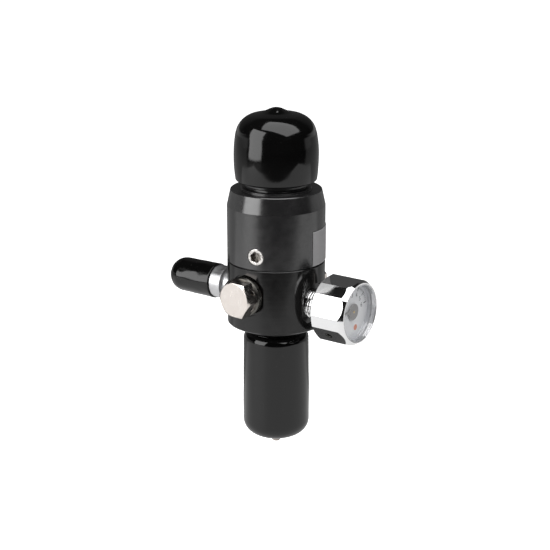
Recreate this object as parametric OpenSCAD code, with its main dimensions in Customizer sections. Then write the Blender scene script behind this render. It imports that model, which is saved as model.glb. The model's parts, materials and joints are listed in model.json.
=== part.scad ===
// High-pressure-air tank regulator with its three vinyl dust caps.
// Origin: centre of the flat seat under the body, +Z up towards the outlet, millimetres.
// Azimuths are measured from +X, anticlockwise seen from above.

/* [Body] */
// Radius of the body barrel
body_r = 15.9; // [15.6:0.1:16.2]
// Height of the body from its seat to the seam under the bonnet
body_h = 22.2; // [21.8:0.1:23]
// Radius of the flat seat under the body
seat_r = 13.1; // [12.6:0.1:13.6]
// Height of the seat ring under the body's foot
foot_h = 1.1; // [0.6:0.1:1.6]

/* [Bottle thread] */
// Major radius of the 5/8-18 bottle thread
bottle_thread_r = 7.9375; // [7.9:0.0125:8]
// Height at which the bottle thread ends, below the seat
bottle_thread_end = 23; // [20:0.5:25]

/* [Bonnet] */
// Radius of the bonnet barrel
bonnet_r = 15.875; // [15.6:0.025:16.2]
// Height of the bonnet's top face above the seat
bonnet_top = 45.7; // [45.2:0.1:46]
// Height at which the bonnet's cone starts
cone_start = 40.4; // [39:0.1:41]
// Radius of the bonnet's top face
cone_r = 14.7; // [14:0.1:15.2]

/* [Outlet] */
// Major radius of the 0.825-14 outlet thread
outlet_thread_r = 10.4775; // [10.4:0.0075:10.5]
// Height of the outlet's face above the seat
outlet_top = 64; // [63.5:0.1:64.2]

/* [Ports] */
// Height of the gauge and high-pressure burst ports
port_z = 9.7; // [9.4:0.1:10]
// Height of the fill port
fill_port_z = 10.25; // [9.85:0.05:10.3]
// Height of the low-pressure burst port
low_port_z = 13.4; // [13:0.1:13.8]
// Azimuth of the gauge
gauge_az = -36; // [-40:1:-32]
// Azimuth of the fill nipple
nipple_az = 144; // [140:1:148]
// Azimuth of the high-pressure burst plug
high_plug_az = 54; // [50:1:58]
// Azimuth of the low-pressure burst plug
low_plug_az = -128; // [-132:1:-124]

/* [Gauge] */
// Distance across the gauge case's wide flats
gauge_af = 20.3; // [20:0.1:20.6]
// Distance from the body's axis to the gauge's front edge
gauge_front = 32.7; // [32.5:0.1:33.2]

/* [Caps] */
// Height of the outlet cap's rim above the seat
outlet_cap_rim = 48.5; // [48:0.1:49]
// Depth of the bottle cap's rim below the seat
bottle_cap_rim = 2.15; // [2.1:0.05:2.6]
// Distance from the body's axis to the nipple cap's rim
nipple_cap_rim = 24.1; // [24.1:0.1:24.6]

/* [Hidden] */
$fn = 96;
eps = 0.01;
run = 0.06;

boss_r = 12.4;
boss_top = 31;
screw_groove_r = 11.6;
screw_z = 26.6;
screw_r = 2.75;
socket_af = 3.3;
screw_az = -114.6;

seat_bore_r = 4.5;
seat_bore_z = 11.2;
inlet_r = 2.2;
inlet_end = -bottle_thread_end - 0.7;
filter_r = 4;
filter_top = -19;
gland_r = 9.5;
gland_h = 0.8;
relief_r = 6.9;
relief_h = 3;
neck_oring_r = 0.9;

port_floor = 9.3;
spot_floor = 14.6;
spot_r = 6.9;
passage_r = 0.8;
plug_shank_r = 3.9;
nipple_shank_r = 4.6;
gauge_stem_r = 4.85;
low_passage_z = 1.8;
low_pocket_r = 2.8;

bonnet_gap = 0.05;
seam_bevel = 0.25;
foot_bevel = 0.35;
edge_bevel = 0.2;
piston_bore_r = 11;
piston_bore_z = 31.5;
ceiling = 40.55;
spring_floor = 43;
outlet_bore_r = 5;
core_floor = 50.5;
core_top = 62;
pin_r = 1.5;
pin_top = 64.5;
label_t = 0.2;

nozzle_top = 13.58;
piston_foot = 14.6;
piston_head = 36.6;
piston_top = 40.5;
piston_bore = 1.5;
shim_top = 31.4;

gauge_back = 20.4;
gauge_cavity_r = 9.35;
gauge_floor = 22.1;
vent_r = 0.7;
vent_bevel = 0.25;
dial_front = 29.6;
window_low = 30.9;
window_high = 32.1;
gear_module = 0.25;
pinion_teeth = 8;
sector_teeth = 32;
gear_gap = gear_module * (pinion_teeth + sector_teeth) / 2;
gear_low = 26.2;
gear_h = 0.8;
arbor_r = 0.35;
pointer_rest = 172;
sector_az = 60;
plate_r = 6.6;

collar_r = 5.5;
collar_end = 24;
poppet_low = 28.8;
poppet_seat = 34.8;

// ---------- helpers ----------

// Points of an arc about (cx, cy)
function arc(cx, cy, r, from, to, steps = 10) =
    [for (i = [0 : steps]) let (a = from + (to - from) * i / steps) [cx + r * cos(a), cy + r * sin(a)]];

// Profile of a screw thread shown as parallel V grooves, from z0 up to z1, outer side only
function thread_side(r, z0, z1, pitch, depth, land) =
    [for (i = [0 : floor((z1 - z0 - land) / pitch) - 1])
        let (z = z0 + i * pitch)
        each [[r, z], [r, z + land], [r - depth, z + (land + pitch) / 2], [r, z + pitch]]];

// Local +Z runs outward along the port, local X is down and local Y is anticlockwise round the body
module port(azimuth, z) {
    translate([0, 0, z])
        rotate([0, 0, azimuth])
            rotate([0, 90, 0])
                children();
}

// Cylinder between two heights
module rod(r, low, high) {
    translate([0, 0, low])
        cylinder(r = r, h = high - low);
}

// Tube between two heights
module tube(r_out, r_in, low, high) {
    difference() {
        rod(r_out, low, high);
        rod(r_in, low - 1, high + 1);
    }
}

// Hexagonal prism of a given distance across flats; a corner points along the turn angle
module hex_prism(across, low, high, turn = 0) {
    rotate([0, 0, turn])
        translate([0, 0, low])
            cylinder(r = across / 2 / cos(30), h = high - low, $fn = 6);
}

// O-ring: circle of radius section swept at radius r
module oring(r, section, z) {
    rotate_extrude()
        translate([r, z])
            circle(r = section, $fn = 32);
}

// Coil spring from low to high, built from one swept polygon of sides corners
module coil(r, wire, low, high, turns, steps = 16, sides = 6) {
    count = ceil(turns * steps);
    rise = high - low - 2 * wire;
    points = [for (i = [0 : count], k = [0 : sides - 1])
        let (t = i * 360 * turns / count, a = k * 360 / sides, rr = r + wire * cos(a))
        [rr * cos(t), rr * sin(t), low + wire + rise * i / count + wire * sin(a)]];
    walls = [for (i = [0 : count - 1], k = [0 : sides - 1])
        let (a = i * sides + k, b = i * sides + (k + 1) % sides)
        each [[a, a + sides, b + sides], [a, b + sides, b]]];
    ends = [
        [for (k = [0 : sides - 1]) k],
        [for (k = [sides - 1 : -1 : 0]) count * sides + k]
    ];
    polyhedron(points = points, faces = concat(walls, ends), convexity = 6);
}

// ---------- body ----------

module body_outline() {
    rotate_extrude()
        polygon(concat(
            [[0, inlet_end], [relief_r, inlet_end]],
            thread_side(bottle_thread_r, -bottle_thread_end, -relief_h, 1.411, 0.8, 0.45),
            [
                [bottle_thread_r, -relief_h - 0.3],
                [relief_r, -relief_h + 0.3],
                [relief_r, gland_h],
                [gland_r, gland_h],
                [gland_r, 0],
                [seat_r, 0],
                [seat_r, foot_h],
                [body_r - foot_bevel, foot_h],
                [body_r, foot_h + foot_bevel],
                [body_r, body_h - seam_bevel],
                [body_r - seam_bevel, body_h],
                [boss_r, body_h],
                [boss_r, screw_z - 2],
                [screw_groove_r, screw_z - 1.2],
                [screw_groove_r, screw_z + 1.2],
                [boss_r, screw_z + 2],
                [boss_r, boss_top - 0.4],
                [boss_r - 0.4, boss_top],
                [0, boss_top]
            ]
        ));
}

// Counterbore, thread bore and passage of one port, cut outward from the body's axis
module port_cut(bore_r) {
    rod(spot_r, spot_floor, body_r + 3);
    rod(bore_r, port_floor, body_r + 1);
    rod(passage_r, 0, port_floor + 1);
}

module body() {
    color([0.035, 0.035, 0.04])
        difference() {
            body_outline();
            rod(inlet_r, inlet_end - 1, seat_bore_z + eps);
            rod(filter_r, inlet_end - 1, filter_top);
            rod(seat_bore_r, seat_bore_z, boss_top + 1);
            port(gauge_az, port_z)
                port_cut(gauge_stem_r);
            port(nipple_az, fill_port_z)
                port_cut(nipple_shank_r);
            port(high_plug_az, port_z)
                port_cut(plug_shank_r);
            port(low_plug_az, low_port_z)
                union() {
                    rod(spot_r, spot_floor, body_r + 3);
                    rod(plug_shank_r, port_floor, body_r + 1);
                    rod(low_pocket_r, port_floor - 1, port_floor + 1);
                    translate([-low_passage_z, 0, 0])
                        rod(passage_r, seat_bore_r - 1, port_floor);
                }
        }
}

module bottle_neck_oring() {
    color([0.02, 0.02, 0.02])
        oring(relief_r + neck_oring_r, neck_oring_r, gland_h - neck_oring_r);
}

module inlet_filter() {
    color([0.6, 0.45, 0.25])
        rod(filter_r - 0.02, filter_top - 3, filter_top);
}

module filter_retainer() {
    color([0.75, 0.75, 0.76])
        difference() {
            rod(filter_r - 0.02, inlet_end + 0.3, filter_top - 3);
            hex_prism(3.2, inlet_end, filter_top - 2);
        }
}

module seat_housing() {
    color([0.78, 0.62, 0.28])
        difference() {
            rotate_extrude()
                polygon([
                    [0, seat_bore_z], [seat_bore_r - 0.02, seat_bore_z],
                    [seat_bore_r - 0.02, 11.8], [3.85, 11.8], [3.85, 12.6],
                    [seat_bore_r - 0.02, 12.6], [seat_bore_r - 0.02, 13.2],
                    [1.6, 13.2], [1.2, nozzle_top], [0, nozzle_top]
                ]);
            rod(0.8, seat_bore_z - 1, nozzle_top + 1);
        }
}

module seat_housing_oring() {
    color([0.02, 0.02, 0.02])
        oring(4.175, 0.32, 12.2);
}

// ---------- piston and its springs ----------

module spring_shims() {
    color([0.72, 0.73, 0.75])
        union() {
            tube(8.6, 4.7, boss_top, boss_top + 0.19);
            tube(8.6, 4.7, boss_top + 0.2, shim_top - 0.01);
        }
}

// Eight conical discs stacked in series, cone up and cone down in turn
module disc_springs() {
    count = 8;
    pitch = (piston_head - shim_top) / count;
    dish = 0.35;
    leaf = pitch - dish - 0.02;
    color([0.55, 0.56, 0.58])
        for (i = [0 : count - 1]) {
            inner = i % 2 == 0 ? 0 : dish;
            outer = dish - inner;
            rotate_extrude()
                polygon([
                    [4.8, shim_top + i * pitch + inner],
                    [9.8, shim_top + i * pitch + outer],
                    [9.8, shim_top + i * pitch + outer + leaf],
                    [4.8, shim_top + i * pitch + inner + leaf]
                ]);
        }
}

module piston() {
    stem_r = seat_bore_r - run;
    head_r = piston_bore_r - run;
    color([0.8, 0.8, 0.82])
        difference() {
            rotate_extrude()
                polygon([
                    [0, piston_foot], [3, piston_foot], [3.2, piston_foot + 0.2],
                    [3.2, 18], [stem_r, 18.6],
                    [stem_r, 20], [3.4, 20], [3.4, 21.4], [stem_r, 21.4],
                    [stem_r, piston_head], [head_r, piston_head],
                    [head_r, 37.7], [9.45, 37.7], [9.45, 39.5], [head_r, 39.5],
                    [head_r, piston_top - 0.4], [head_r - 0.4, piston_top],
                    [9.2, piston_top], [8.8, piston_top - 0.4], [0, piston_top - 0.4]
                ]);
            rod(piston_bore, 16.6, piston_top + 1);
            rod(2.2, piston_foot - 1, 15.6);
            for (a = [0 : 90 : 90])
                rotate([90, 0, a])
                    translate([0, 17.3, -5])
                        cylinder(r = 0.6, h = 10);
        }
}

module valve_seat() {
    color([0.93, 0.92, 0.86])
        rod(2.18, piston_foot - 0.2, 15.6);
}

module piston_head_oring() {
    color([0.02, 0.02, 0.02])
        oring(10.2, 0.74, 38.6);
}

module piston_stem_oring() {
    color([0.02, 0.02, 0.02])
        oring(3.93, 0.52, 20.7);
}

// ---------- bonnet and outlet ----------

module bonnet_outline() {
    low = body_h + bonnet_gap;
    rotate_extrude()
        polygon(concat(
            [
                [0, low],
                [bonnet_r - seam_bevel, low],
                [bonnet_r, low + seam_bevel],
                [bonnet_r, cone_start],
                [cone_r + 0.05, bonnet_top - edge_bevel],
                [cone_r - edge_bevel, bonnet_top],
                [11.4, bonnet_top],
                [11.4, bonnet_top + 0.4],
                [11.2, bonnet_top + 0.6],
                [9.6, bonnet_top + 0.7],
                [9.6, bonnet_top + 1]
            ],
            thread_side(outlet_thread_r, bonnet_top + 1.5, outlet_top - 0.6, 1.814, 1, 0.5),
            [
                [outlet_thread_r, outlet_top - 1],
                [outlet_thread_r - 0.9, outlet_top],
                [8.85, outlet_top],
                [8.85, outlet_top - 1.3],
                [6.95, outlet_top - 1.3],
                [6.95, outlet_top],
                [0, outlet_top]
            ]
        ));
}

module bonnet() {
    color([0.04, 0.04, 0.045])
        difference() {
            bonnet_outline();
            rod(boss_r + run, body_h - 1, piston_bore_z);
            rod(piston_bore_r, piston_bore_z - 1, ceiling);
            rod(2, ceiling - 1, spring_floor + 1);
            rod(outlet_bore_r, spring_floor, outlet_top + 1);
            for (a = [0, 180])
                port(screw_az + a, screw_z)
                    rod(screw_r, boss_r - 1, bonnet_r + 1);
            port(high_plug_az + 30, 34)
                rod(0.6, piston_bore_r - 1, bonnet_r + 1);
        }
}

module bonnet_set_screws() {
    tip = screw_groove_r + 0.3;
    head = bonnet_r - 0.25;
    color([0.85, 0.85, 0.86])
        for (a = [0, 180])
            port(screw_az + a, screw_z)
                difference() {
                    rotate_extrude()
                        polygon([
                            [0, tip], [1.1, tip], [1.2, tip + 0.3], [screw_r, tip + 1.2],
                            [screw_r, head - edge_bevel], [screw_r - edge_bevel, head], [0, head]
                        ]);
                    hex_prism(socket_af, head - 1.9, head + 1, 15);
                }
}

module rating_label() {
    color([0.55, 0.55, 0.57])
        rotate([0, 0, -43.5])
            rotate_extrude(angle = 53)
                translate([bonnet_r, 22.7])
                    square([label_t, 11.1]);
}

module outlet_face_oring() {
    color([0.02, 0.02, 0.02])
        oring(7.9, 0.93, outlet_top - 0.37);
}

module outlet_valve_core() {
    core_r = outlet_bore_r - 0.02;
    color([0.78, 0.62, 0.28])
        difference() {
            rotate_extrude()
                polygon([
                    [0, core_floor], [core_r - 0.4, core_floor], [core_r, core_floor + 0.4],
                    [core_r, 52.4], [4.15, 52.4], [4.15, 53.5], [core_r, 53.5],
                    [core_r, core_top - 0.3], [core_r - 0.3, core_top], [0, core_top]
                ]);
            rod(pin_r + run, 40, core_top + 1);
            rod(2.4, core_floor - 1, 52);
            rod(3.2, 51.9, 59);
            for (a = [0 : 90 : 270])
                rotate([0, 0, a + 45])
                    translate([2.65, 0, 0])
                        rod(0.5, 58, core_top + 1);
        }
}

module outlet_core_oring() {
    color([0.02, 0.02, 0.02])
        oring(4.57, 0.41, 52.95);
}

module outlet_pin() {
    color([0.82, 0.82, 0.84])
        rotate_extrude()
            polygon([
                [0, 47.6], [2.6, 47.6], [2.6, 48], [4.2, 48], [4.2, 49],
                [pin_r, 49], [pin_r, pin_top - 0.5], [pin_r - 0.5, pin_top], [0, pin_top]
            ]);
}

module outlet_pin_seal() {
    color([0.02, 0.02, 0.02])
        tube(4, pin_r, 49, core_floor);
}

module outlet_pin_spring() {
    color([0.7, 0.71, 0.73])
        coil(3.5, 0.35, spring_floor, 48, 3.5);
}

// ---------- fill nipple ----------

module fill_nipple() {
    color([0.78, 0.78, 0.8])
        port(nipple_az, fill_port_z)
            difference() {
                rotate_extrude()
                    polygon([
                        [0, port_floor + 0.2], [nipple_shank_r - 0.02, port_floor + 0.2],
                        [nipple_shank_r - 0.02, 15.59], [5.7, 15.59], [5.7, 15.9], [4.3, 15.9],
                        [4.3, 19.3], [4.9, 19.3], [collar_r, 19.65],
                        [collar_r, collar_end - edge_bevel], [collar_r - edge_bevel, collar_end],
                        [4.65, collar_end], [4.65, 27.1], [4.45, 27.3], [4, 27.3],
                        [3.4, 28], [3.4, 31.2], [4, 31.8], [4, 39.2], [3.2, 40.1], [0, 40.1]
                    ]);
                rod(2.6, port_floor - 1, poppet_seat);
                rod(1.7, poppet_seat - 1, 42);
            }
}

module nipple_oring() {
    color([0.02, 0.02, 0.02])
        port(nipple_az, fill_port_z)
            oring(5.1, 0.49, 15.1);
}

module nipple_spring_stop() {
    color([0.78, 0.62, 0.28])
        port(nipple_az, fill_port_z)
            tube(2.58, 1, 18, 20);
}

module nipple_spring() {
    color([0.7, 0.71, 0.73])
        port(nipple_az, fill_port_z)
            coil(2, 0.3, 20, poppet_low, 6, 12);
}

module nipple_poppet() {
    color([0.82, 0.82, 0.84])
        port(nipple_az, fill_port_z)
            union() {
                intersection() {
                    rod(2.52, poppet_low, poppet_seat - 0.8);
                    hex_prism(4.5, poppet_low, poppet_seat - 0.8);
                }
                rod(1, poppet_seat - 0.8, poppet_seat + 0.8);
            }
}

module nipple_poppet_seal() {
    color([0.02, 0.02, 0.02])
        port(nipple_az, fill_port_z)
            tube(2.4, 1, poppet_seat - 0.8, poppet_seat);
}

// ---------- burst plugs ----------

// Hex plug with a round flange, vented through its shank and four cross holes
module burst_plug(turn) {
    flange = spot_floor + 0.6;
    hex_low = flange + 2.2;
    face = hex_low + 4.4;
    difference() {
        union() {
            rod(plug_shank_r - 0.02, port_floor + 0.3, flange + 1);
            rotate_extrude()
                polygon([
                    [0, flange], [6, flange], [6.35, flange + 0.35],
                    [6.35, hex_low - 0.5], [5.9, hex_low], [0, hex_low]
                ]);
            intersection() {
                hex_prism(11.1, hex_low - 0.1, face, turn);
                rotate_extrude()
                    polygon([
                        [0, flange], [7, flange], [7, face - 0.9], [5.45, face], [0, face]
                    ]);
            }
        }
        rod(1.5, port_floor - 1, hex_low + 2);
        for (a = [30, 90])
            rotate([0, 90, turn + a])
                translate([-hex_low - 1.1, 0, -8])
                    cylinder(r = 0.7, h = 16);
    }
}

module burst_washer() {
    tube(5.4, plug_shank_r, spot_floor, spot_floor + 0.6);
}

module burst_disc() {
    rod(plug_shank_r - 0.05, port_floor, port_floor + 0.3);
}

module low_burst_plug() {
    color([0.83, 0.81, 0.79])
        port(low_plug_az, low_port_z)
            burst_plug(26);
}

module low_burst_washer() {
    color([0.72, 0.45, 0.3])
        port(low_plug_az, low_port_z)
            burst_washer();
}

module low_burst_disc() {
    color([0.72, 0.45, 0.3])
        port(low_plug_az, low_port_z)
            burst_disc();
}

module high_burst_plug() {
    color([0.83, 0.81, 0.79])
        port(high_plug_az, port_z)
            burst_plug(0);
}

module high_burst_washer() {
    color([0.72, 0.45, 0.3])
        port(high_plug_az, port_z)
            burst_washer();
}

module high_burst_disc() {
    color([0.72, 0.45, 0.3])
        port(high_plug_az, port_z)
            burst_disc();
}

// ---------- gauge ----------

module gauge_stem() {
    color([0.8, 0.8, 0.81])
        port(gauge_az, port_z)
            difference() {
                union() {
                    rotate_extrude()
                        polygon(concat(
                            [[0, port_floor + 0.2], [gauge_stem_r - 0.5, port_floor + 0.2]],
                            thread_side(gauge_stem_r - 0.02, port_floor + 0.7, 19.9, 0.941, 0.4, 0.3),
                            [
                                [4.1, 20], [4.1, gauge_floor],
                                [4.8, gauge_floor], [4.8, gauge_floor + 1.2], [0, gauge_floor + 1.2]
                            ]
                        ));
                    translate([-1.1, 0, gauge_floor])
                        cube([2.2, 8.4, 1.2]);
                }
                rod(0.6, port_floor - 1, gauge_floor + 0.6);
            }
}

// Prism of six wide flats with bevelled corners, coned at both ends
module gauge_case() {
    corner_r = gauge_af / 2 / cos(19);
    narrow_af = 2 * corner_r * cos(11);
    flats_turn = -20;
    color([0.85, 0.85, 0.86])
        port(gauge_az, port_z)
            difference() {
                intersection() {
                    hex_prism(gauge_af, gauge_back, gauge_front, flats_turn);
                    hex_prism(narrow_af, gauge_back, gauge_front, flats_turn + 30);
                    rotate_extrude()
                        polygon([
                            [0, gauge_back], [corner_r - 1, gauge_back],
                            [corner_r + 0.05, gauge_back + 0.8],
                            [corner_r + 0.05, gauge_front - 1.9],
                            [9.8, gauge_front], [0, gauge_front]
                        ]);
                }
                rod(gauge_cavity_r, gauge_floor, gauge_front + 1);
                rod(4.12, gauge_back - 1, gauge_floor + 1);
                rotate([0, 90, 310])
                    translate([-26, 0, 0])
                        union() {
                            rod(vent_r, 8, 13);
                            translate([0, 0, gauge_af / 2 - vent_bevel])
                                cylinder(r1 = vent_r, r2 = vent_r + 2 * vent_bevel, h = 2 * vent_bevel);
                        }
            }
}

// Flattened C-shaped tube fed from the arm of the stem
module gauge_bourdon_tube() {
    color([0.72, 0.5, 0.3])
        port(gauge_az, port_z)
            union() {
                rotate([0, 0, 88])
                    rotate_extrude(angle = -250)
                        translate([7.9, 25.2])
                            square([0.9, 2.4], center = true);
                translate([-0.5, 7.45, gauge_floor + 1.2])
                    cube([1, 0.9, 1]);
            }
}

// Two plates on three posts that carry the arbors and the dial
module gauge_movement_frame() {
    color([0.78, 0.64, 0.32])
        port(gauge_az, port_z)
            difference() {
                union() {
                    rod(plate_r, 23.6, 24.2);
                    rod(plate_r, 27.8, 28.4);
                    for (a = [0, 120, 240])
                        rotate([0, 0, sector_az + 180 + a])
                            translate([5.7, 0, 0])
                                rod(0.6, gauge_floor, dial_front - 0.6);
                }
                rod(arbor_r + 0.05, 20, 30);
                rotate([0, 0, sector_az])
                    translate([gear_gap, 0, 0])
                        rod(arbor_r + 0.05, 20, 30);
            }
}

// One straight-sided gear tooth centred on +X, for a gear of pitch radius r
module tooth(r) {
    translate([0, 0, gear_low])
        linear_extrude(gear_h)
            polygon([
                [r - 1.15 * gear_module, -0.2], [r, -0.13], [r + 0.6 * gear_module, -0.05],
                [r + 0.6 * gear_module, 0.05], [r, 0.13], [r - 1.15 * gear_module, 0.2]
            ]);
}

module gauge_sector_gear() {
    r = gear_module * sector_teeth / 2;
    step = 360 / sector_teeth;
    color([0.78, 0.64, 0.32])
        port(gauge_az, port_z)
            rotate([0, 0, sector_az])
                translate([gear_gap, 0, 0])
                    union() {
                        rod(arbor_r, 23.7, 28.3);
                        rod(0.9, gear_low, gear_low + gear_h);
                        intersection() {
                            rod(r - 1.05 * gear_module, gear_low, gear_low + gear_h);
                            rotate([0, 0, 180 - 2 * step])
                                translate([0, 0, gear_low])
                                    linear_extrude(gear_h)
                                        polygon([[-0.5, 0], [r, -0.82 * r], [r, 0.82 * r]]);
                        }
                        for (i = [-5 : 1])
                            rotate([0, 0, 180 + i * step])
                                tooth(r);
                    }
}

module gauge_pinion() {
    r = gear_module * pinion_teeth / 2;
    step = 360 / pinion_teeth;
    color([0.78, 0.64, 0.32])
        port(gauge_az, port_z)
            union() {
                rod(arbor_r, 23.7, 30.4);
                rod(r - 1.05 * gear_module, gear_low, gear_low + gear_h);
                for (i = [0 : pinion_teeth - 1])
                    rotate([0, 0, sector_az + (i + 0.5) * step])
                        tooth(r);
            }
}

module gauge_dial() {
    color([0.93, 0.93, 0.93])
        port(gauge_az, port_z)
            tube(gauge_cavity_r - 0.15, 0.6, dial_front - 0.6, dial_front);
}

// Round hub plate with a short tapered tip
module gauge_pointer() {
    color([0.35, 0.34, 0.34])
        port(gauge_az, port_z)
            rotate([0, 0, pointer_rest + 90])
                difference() {
                    union() {
                        rod(2.65, 29.95, 30.2);
                        translate([0, 0, 29.95])
                            linear_extrude(0.25)
                                polygon([[2, -0.75], [5.2, -0.12], [5.2, 0.12], [2, 0.75]]);
                    }
                    rod(arbor_r, 29, 31);
                }
}

module gauge_window_seal() {
    color([0.9, 0.9, 0.9])
        port(gauge_az, port_z)
            tube(gauge_cavity_r - 0.05, gauge_cavity_r - 0.45, dial_front, window_low);
}

module gauge_window() {
    color([0.9, 0.93, 0.95, 0.3])
        port(gauge_az, port_z)
            rod(gauge_cavity_r - 0.05, window_low, window_high);
}

module gauge_bezel() {
    color([0.85, 0.85, 0.86])
        port(gauge_az, port_z)
            tube(gauge_cavity_r - 0.02, gauge_cavity_r - 0.3, window_high, gauge_front - 0.1);
}

// ---------- vinyl caps ----------

// Closed cup of revolution: outer and inner are the two sides from the rim to the axis
module cup(outer, inner) {
    rotate_extrude()
        polygon(concat(outer, [for (i = [len(inner) - 1 : -1 : 0]) inner[i]]));
}

module outlet_cap() {
    bulge_z = 56;
    bulge_r = 13.62;
    shoulder_r = 7.07;
    shoulder_z = 62.69;
    shoulder_from = 5.9;
    side_end = 64.1;
    dome_r = shoulder_from + shoulder_r * cos(78);
    dome_low = shoulder_z + shoulder_r * sin(78);
    dome_h = 0.89;
    hump_r = 5.44;
    hump_h = 1.27;
    outer = concat(
        [[11.7, outlet_cap_rim]],
        [for (i = [0 : 7])
            let (z = outlet_cap_rim + 0.5 + (side_end - outlet_cap_rim - 0.5) * i / 8)
            [bulge_r - 0.0111 * pow(z - bulge_z, 2), z]],
        arc(shoulder_from, shoulder_z, shoulder_r, 12, 78, 8),
        [for (i = [1 : 10])
            let (
                r = dome_r * (1 - i / 10),
                dome = dome_h * (1 - pow(r / dome_r, 2)),
                hump = hump_h * (1 + cos(180 * min(1, r / hump_r))) / 2
            )
            [r, dome_low + dome + hump]]
    );
    inner = concat(
        [[11.2, outlet_cap_rim], [11.2, 63.5]],
        arc(8.7, 63.7, 2.5, 0, 90, 4),
        [[0, 66.3]]
    );
    color([0.02, 0.02, 0.02])
        cup(outer, inner);
}

module bottle_cap() {
    end_z = 38.4;
    end_r = 5.3;
    rim_r = 10.9;
    lip_r = 2.8;
    lip_low = -bottle_cap_rim - lip_r * sin(70);
    waist_r = 11.03;
    nub_r = 1.8;
    outer = concat(
        [[8.8, -bottle_cap_rim]],
        arc(rim_r - lip_r, lip_low, lip_r, 70, 0, 6),
        [[waist_r, -27]],
        arc(waist_r - end_r, -end_z + end_r, end_r, 0, -90, 8),
        [[nub_r, -end_z - 0.4], [nub_r - 0.3, -end_z - 2.4], [0.9, -end_z - 3.3], [0, -end_z - 3.5]]
    );
    inner = concat(
        [[8.65, -bottle_cap_rim], [8.65, -34]],
        arc(5.65, -34, 3, 0, -90, 4),
        [[0, -37]]
    );
    color([0.03, 0.03, 0.03])
        cup(outer, inner);
}

module nipple_cap() {
    rim_r = 5.9;
    lip_r = 0.8;
    end_r = 5.75;
    end_at = 42.9;
    round_r = 5.35;
    outer = concat(
        [[5, nipple_cap_rim]],
        arc(rim_r - lip_r, nipple_cap_rim + lip_r, lip_r, -80, 0, 4),
        arc(end_r - round_r, end_at - round_r, round_r, 0, 90, 8),
        [[0, end_at]]
    );
    inner = concat(
        [[4.75, nipple_cap_rim]],
        arc(2.2, 38.2, 2.55, 0, 90, 5),
        [[0, 40.75]]
    );
    color([0.02, 0.02, 0.02])
        port(nipple_az, fill_port_z)
            cup(outer, inner);
}

body();
bottle_neck_oring();
inlet_filter();
filter_retainer();
seat_housing();
seat_housing_oring();
spring_shims();
disc_springs();
piston();
valve_seat();
piston_head_oring();
piston_stem_oring();
bonnet();
bonnet_set_screws();
rating_label();
outlet_face_oring();
outlet_valve_core();
outlet_core_oring();
outlet_pin();
outlet_pin_seal();
outlet_pin_spring();
fill_nipple();
nipple_oring();
nipple_spring_stop();
nipple_spring();
nipple_poppet();
nipple_poppet_seal();
low_burst_plug();
low_burst_washer();
low_burst_disc();
high_burst_plug();
high_burst_washer();
high_burst_disc();
gauge_stem();
gauge_case();
gauge_bourdon_tube();
gauge_movement_frame();
gauge_sector_gear();
gauge_pinion();
gauge_dial();
gauge_pointer();
gauge_window_seal();
gauge_window();
gauge_bezel();
outlet_cap();
bottle_cap();
nipple_cap();
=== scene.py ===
"""Looks of the air regulator: materials, vinyl dust caps, springs, dial print and a white studio.

Everything is in metres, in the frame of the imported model. MM turns millimetres into metres.
"""

import json
from math import cos, exp, pi, radians, sin

import bmesh
import bpy
from mathutils import Matrix, Vector, noise

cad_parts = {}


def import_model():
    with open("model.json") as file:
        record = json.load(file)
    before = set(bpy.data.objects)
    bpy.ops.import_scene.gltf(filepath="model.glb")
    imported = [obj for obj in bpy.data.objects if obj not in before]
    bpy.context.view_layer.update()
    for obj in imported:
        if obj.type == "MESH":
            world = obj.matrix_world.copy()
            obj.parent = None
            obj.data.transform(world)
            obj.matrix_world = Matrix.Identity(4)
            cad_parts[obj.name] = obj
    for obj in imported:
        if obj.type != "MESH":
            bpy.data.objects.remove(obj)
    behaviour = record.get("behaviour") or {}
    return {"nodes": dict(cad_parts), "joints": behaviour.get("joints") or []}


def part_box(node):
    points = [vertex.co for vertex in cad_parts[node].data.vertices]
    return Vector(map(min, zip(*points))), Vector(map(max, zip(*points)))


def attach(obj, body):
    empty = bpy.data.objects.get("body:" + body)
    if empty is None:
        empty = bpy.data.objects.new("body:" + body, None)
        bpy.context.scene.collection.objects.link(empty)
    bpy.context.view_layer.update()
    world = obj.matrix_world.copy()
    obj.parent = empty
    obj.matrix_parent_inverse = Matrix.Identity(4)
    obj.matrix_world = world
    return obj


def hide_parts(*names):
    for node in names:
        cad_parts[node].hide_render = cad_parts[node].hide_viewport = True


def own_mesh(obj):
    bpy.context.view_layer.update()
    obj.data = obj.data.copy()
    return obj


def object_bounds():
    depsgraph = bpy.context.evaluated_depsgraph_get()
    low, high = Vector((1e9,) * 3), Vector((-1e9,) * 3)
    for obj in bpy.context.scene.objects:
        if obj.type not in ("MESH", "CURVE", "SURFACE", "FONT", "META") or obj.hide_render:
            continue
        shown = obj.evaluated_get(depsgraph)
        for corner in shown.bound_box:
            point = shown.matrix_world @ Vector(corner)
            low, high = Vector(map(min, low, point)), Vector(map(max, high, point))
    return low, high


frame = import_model()
cad_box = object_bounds()

MM = 0.001
UP = Vector((0, 0, 1))

NODES = frame["nodes"]
JOINTS = {joint["name"]: joint for joint in frame["joints"]}


# ---------------------------------------------------------------- places taken from the frame

def centre(node):
    """Middle of a CAD node's box."""
    low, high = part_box(node)
    return (low + high) / 2


def level(vector):
    """Unit vector of the level part of a vector."""
    return Vector((vector.x, vector.y, 0)).normalized()


def port(node):
    """Axis of the port that a CAD node sits in: a point on the upright axis, and the level way out."""
    middle = centre(node)
    return Vector((0, 0, middle.z)), level(middle)


def reach(mesh, direction):
    """How far each vertex of a mesh lies along a direction."""
    return [v.co.dot(direction) for v in mesh.vertices]


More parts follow.
